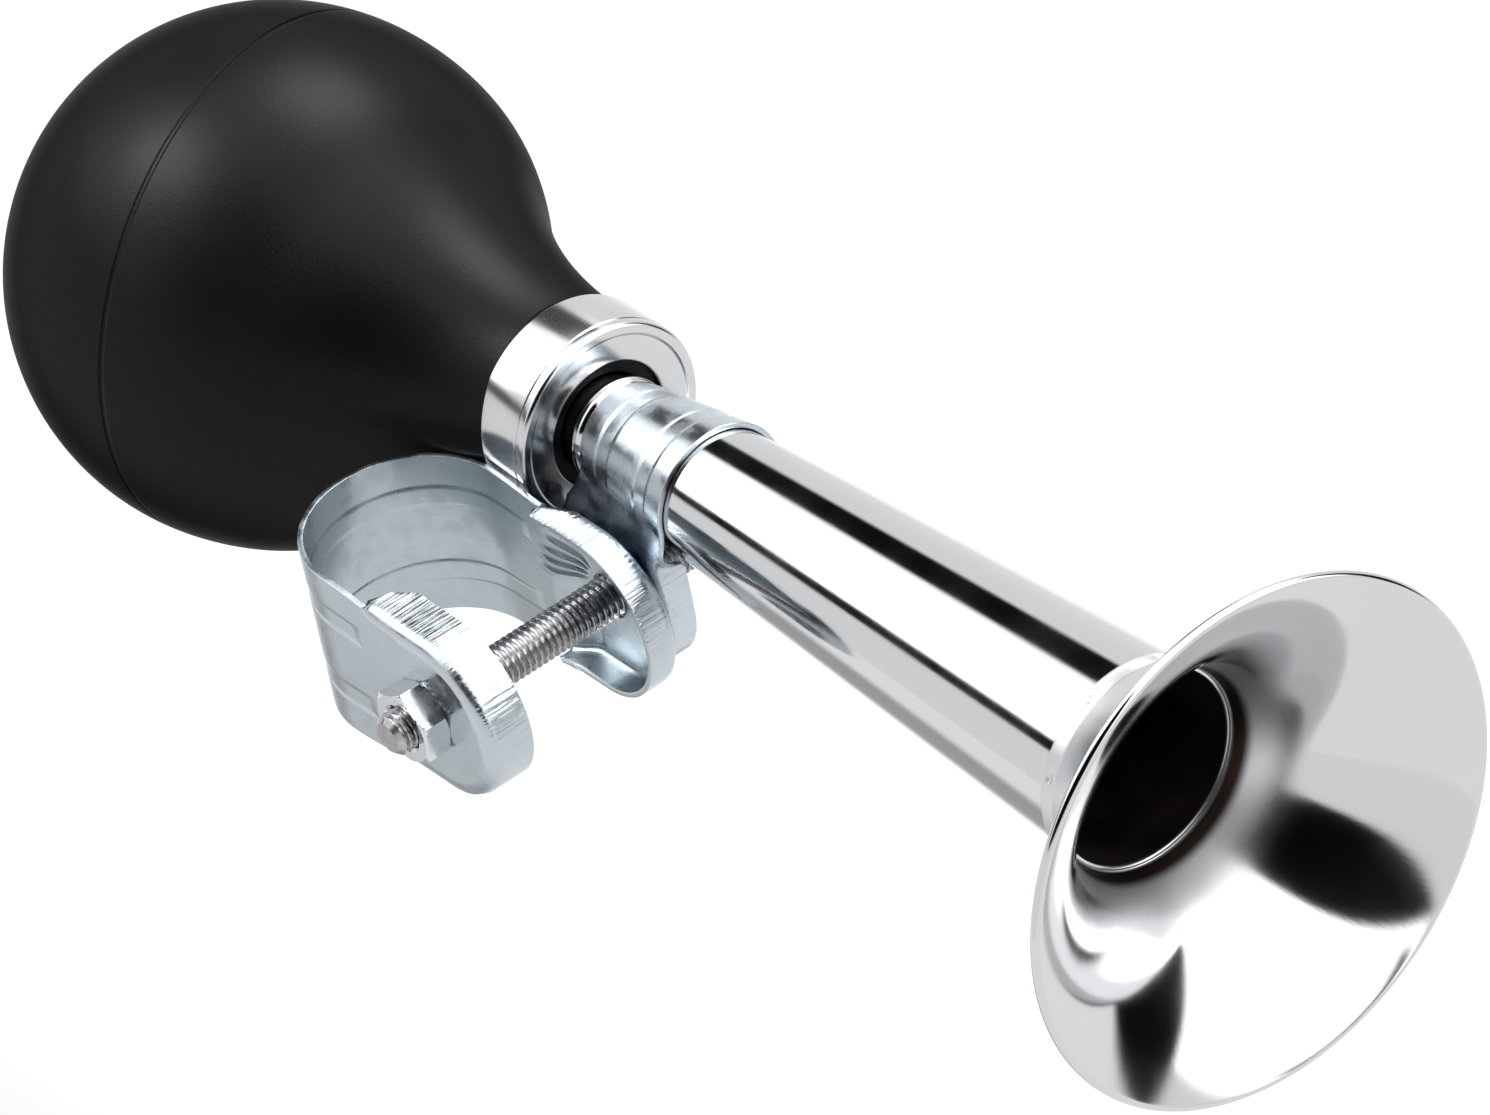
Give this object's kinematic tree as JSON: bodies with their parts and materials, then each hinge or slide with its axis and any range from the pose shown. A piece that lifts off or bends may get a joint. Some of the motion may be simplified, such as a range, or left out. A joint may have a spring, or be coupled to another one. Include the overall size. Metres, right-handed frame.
{
  "type": "bicycle bulb horn",
  "caption": "Bulb horn for a handlebar: a black rubber bulb, a chromed conical barrel and flared bell, and a two-part bolted strap bracket in zinc plate.",
  "frame": {"origin": "centre of the handlebar clamp's bore", "axes": "+Z along the handlebar's bore, +X from the bulb to the bell along the horn, +Y from the handlebar to the horn"},
  "size_m": [0.186, 0.0706, 0.0596],
  "materials": {
    "rubber": "satin",
    "chrome": "polished",
    "zinc": "bright zinc plate",
    "steel": "threaded steel",
    "brass": "plain"
  },
  "bodies": {
    "bar_bracket": {"bar_clamp": "zinc"},
    "stem_bracket": {"stem_clamp": "zinc"},
    "horn": {"barrel": "chrome", "bell": "chrome", "bulb_collar": "chrome", "reed_body": "brass", "reed_wedge": "brass"},
    "bulb": {"bulb": "rubber"},
    "reed": {"reed_tongue": "brass"},
    "bolt": {"clamp_bolt": "steel"},
    "nut": {"clamp_nut": "zinc"}
  },
  "joints": [
    {"name": "bracket_swivel", "type": "hinge", "parent": "bar_bracket", "child": "stem_bracket", "pos_m": [0.0153, 0, 0], "axis": [0, 1, 0], "continuous": true},
    {"name": "horn_twist", "type": "hinge", "parent": "stem_bracket", "child": "horn", "pos_m": [0.0051, 0.0238, 0.0111], "axis": [1, 0, 0], "continuous": true},
    {"name": "bulb_squeeze", "type": "slide", "parent": "horn", "child": "bulb", "axis": [0.9882, 0.153, 0], "range_m": [0, 0.018], "stiffness_N_per_m": 600, "deforming": ["bulb"]},
    {"name": "reed_flex", "type": "hinge", "parent": "horn", "child": "reed", "pos_m": [-0.0144, 0.0238, 0.01252], "axis": [0, 1, 0], "range_deg": [-1.3, 1], "stiffness_Nm_per_rad": 0.01},
    {"name": "bolt_turn", "type": "hinge", "parent": "stem_bracket", "child": "bolt", "pos_m": [0.0153, 0, 0], "axis": [0, 1, 0], "range_deg": [0, 1080]},
    {"name": "nut_travel", "type": "slide", "parent": "bar_bracket", "child": "nut", "axis": [0, -1, 0], "range_m": [0, 0.0024]}
  ],
  "couplings": [
    {"joint": "bolt_turn", "follows": "nut_travel", "rad_per_m": 7854}
  ]
}
